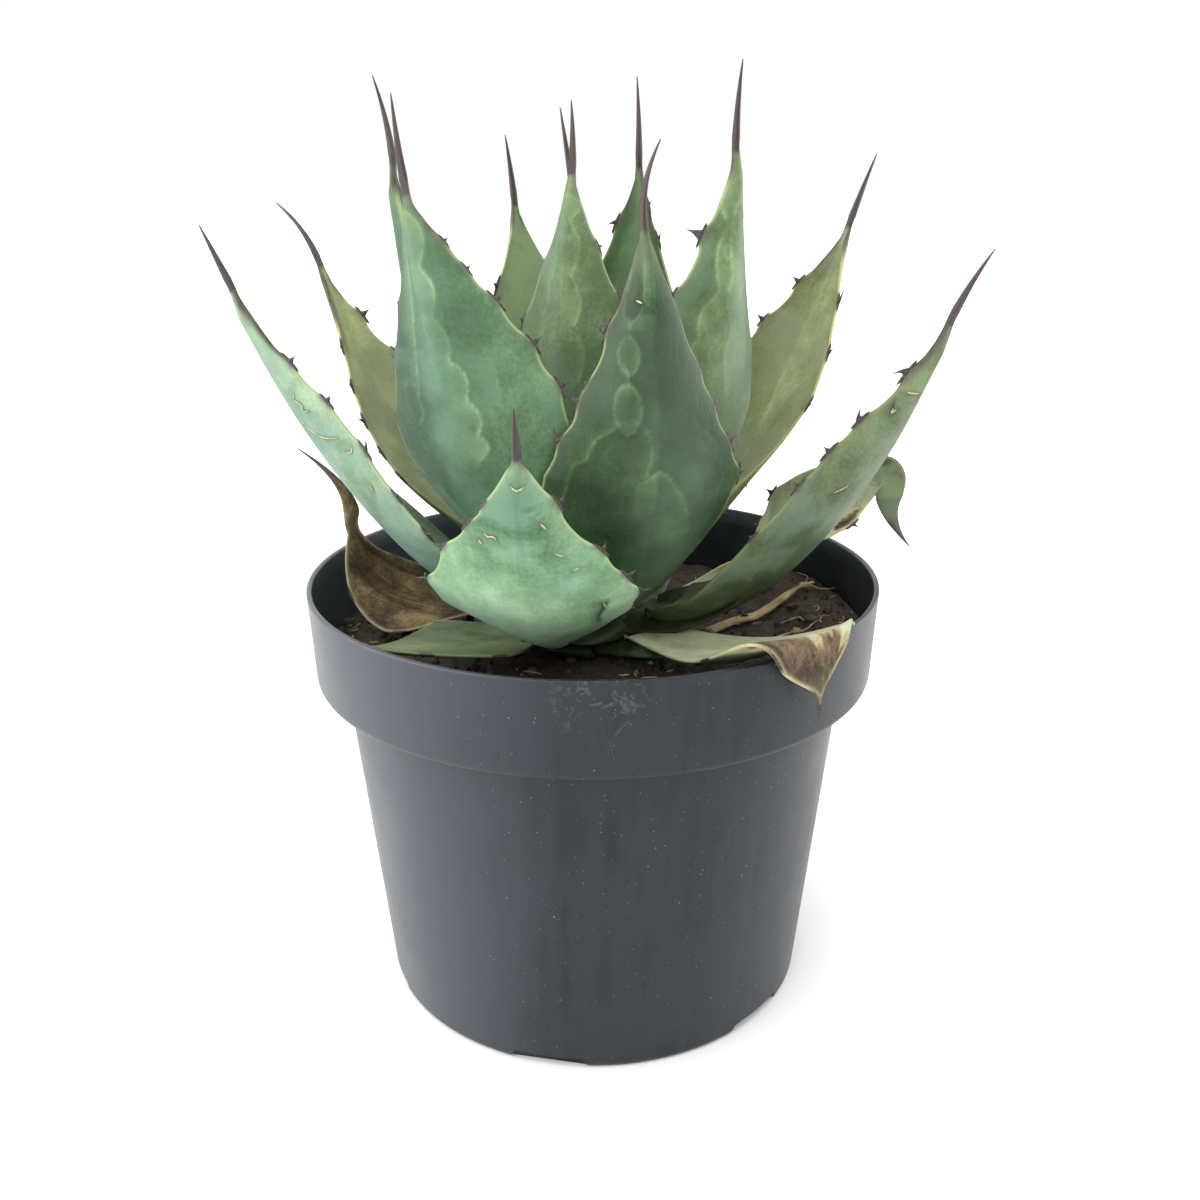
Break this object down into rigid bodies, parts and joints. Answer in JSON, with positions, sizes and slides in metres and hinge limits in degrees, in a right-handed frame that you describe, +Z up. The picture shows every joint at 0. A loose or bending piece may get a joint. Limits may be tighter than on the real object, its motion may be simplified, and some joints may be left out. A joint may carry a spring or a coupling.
{
  "type": "potted agave",
  "caption": "Rosette of broad toothed agave leaves with dark end spines, growing in soil in a round black nursery pot with a wide rim band.",
  "frame": {"origin": "centre of the flat underside of the pot, on the surface that it stands on", "axes": "+Z up, the front of the plant faces -Y, +X to the right"},
  "size_m": [0.2448, 0.2308, 0.327],
  "materials": {
    "pot_plastic": "satin",
    "potting_soil": "matte",
    "stem_tissue": "matte",
    "dried_root": "matte",
    "leaf_green": "satin",
    "leaf_olive": "satin",
    "leaf_dry": "matte"
  },
  "bodies": {
    "root": {"pot": "pot_plastic", "soil": "potting_soil", "stem": "stem_tissue", "root_strip": "dried_root", "leaf_front_low": "leaf_green", "leaf_front_tall": "leaf_green", "leaf_left_tall": "leaf_green", "leaf_left_inner": "leaf_green", "leaf_left_low": "leaf_green", "leaf_right_low": "leaf_green", "leaf_right_inner": "leaf_green", "leaf_centre_front": "leaf_green", "leaf_centre_left": "leaf_green", "leaf_centre_right": "leaf_green", "leaf_back": "leaf_green", "leaf_back_left": "leaf_green", "leaf_back_right": "leaf_green", "leaf_bud": "leaf_green", "leaf_left_back": "leaf_olive", "leaf_right_back": "leaf_olive", "leaf_right_folded": "leaf_olive", "leaf_rim_left": "leaf_olive", "leaf_rim_right": "leaf_olive", "leaf_dead": "leaf_dry"}
  },
  "joints": []
}
